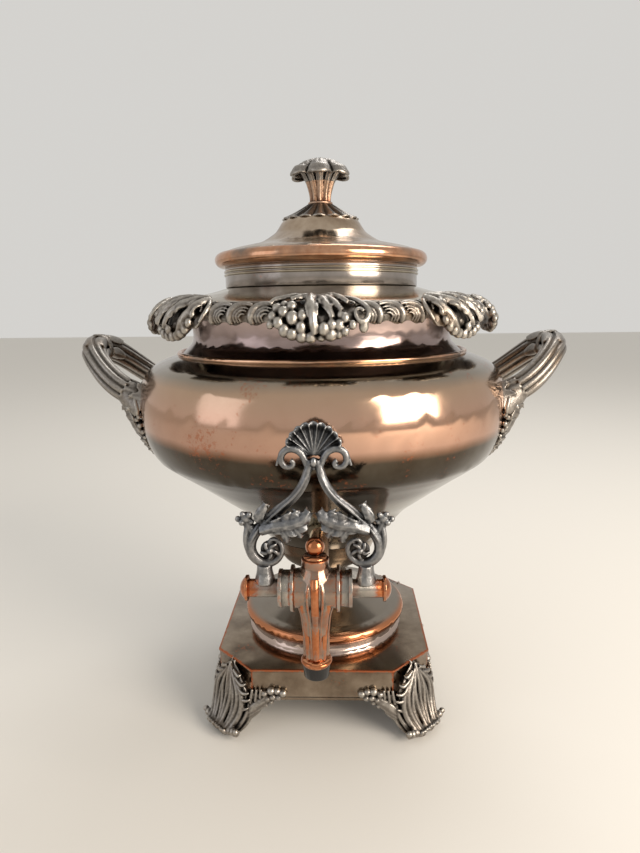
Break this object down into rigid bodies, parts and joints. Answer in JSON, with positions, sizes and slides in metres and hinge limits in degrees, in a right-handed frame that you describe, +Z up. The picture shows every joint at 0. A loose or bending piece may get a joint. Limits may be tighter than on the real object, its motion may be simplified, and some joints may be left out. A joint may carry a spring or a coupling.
{
  "type": "samovar",
  "caption": "Footed round metal hot-drink urn with leaf-bordered rim, domed lid, loop side handles and a lever draw-off tap.",
  "frame": {"origin": "on the table plane, on the vertical axis of the body", "axes": "+Z up, +X to the right of a user who faces the tap, the tap is on the -Y side"},
  "size_m": [0.354, 0.2954, 0.3995],
  "materials": {
    "silver_plate": "polished, worn silver plate on copper",
    "cast_silver": "dull cast ornament with dark recesses",
    "worn_copper": "bare copper where the plate has worn off",
    "black_tip": "black composition",
    "inner_copper": "tinned copper inside",
    "cast_iron": "rough black iron"
  },
  "bodies": {
    "urn": {"plinth": "silver_plate", "pedestal": "silver_plate", "stem": "silver_plate", "bowl": "silver_plate", "neck": "silver_plate", "rim_plate": "silver_plate", "collar": "silver_plate", "collar_bead": "silver_plate", "tap_sleeve": "silver_plate", "foot_front_left": "cast_silver", "foot_front_right": "cast_silver", "foot_back_left": "cast_silver", "foot_back_right": "cast_silver", "rim_band": "cast_silver", "rim_gadroons": "cast_silver", "rim_groups": "cast_silver", "handle_left": "cast_silver", "handle_right": "cast_silver", "handle_leaves_left": "cast_silver", "handle_leaves_right": "cast_silver", "shoulder_ring": "worn_copper", "tap_pipe": "worn_copper", "tap_body": "worn_copper", "tap_washers": "worn_copper", "tap_glands": "worn_copper", "tap_ball": "worn_copper", "spout_ring": "worn_copper", "spout_tip": "black_tip", "tie_rod": "inner_copper", "tie_nuts": "inner_copper", "tie_washers": "inner_copper", "heater_sleeve": "inner_copper"},
    "lid": {"lid_dome": "silver_plate", "lid_rim": "worn_copper", "lid_bezel": "silver_plate", "finial_rosette": "cast_silver", "finial_stem": "cast_silver", "finial_cap": "cast_silver", "finial_stud": "inner_copper", "finial_nut": "inner_copper"},
    "tap_key": {"tap_plug": "worn_copper", "tap_buttons": "worn_copper", "tap_lever": "cast_silver"},
    "heater_cap": {"heater_cap": "inner_copper"},
    "iron_slug": {"iron_slug": "cast_iron"}
  },
  "joints": [
    {"name": "lid_lift", "type": "slide", "parent": "urn", "child": "lid", "axis": [0, 0, 1], "range_m": [0, 0.12]},
    {"name": "tap_turn", "type": "hinge", "parent": "urn", "child": "tap_key", "pos_m": [0, -0.15, 0.1475], "axis": [1, 0, 0], "range_deg": [0, 90]},
    {"name": "heater_cap_lift", "type": "slide", "parent": "urn", "child": "heater_cap", "axis": [0, 0, 1], "range_m": [0, 0.02]},
    {"name": "iron_slug_lift", "type": "slide", "parent": "urn", "child": "iron_slug", "axis": [0, 0, 1], "range_m": [0, 0.015]}
  ]
}
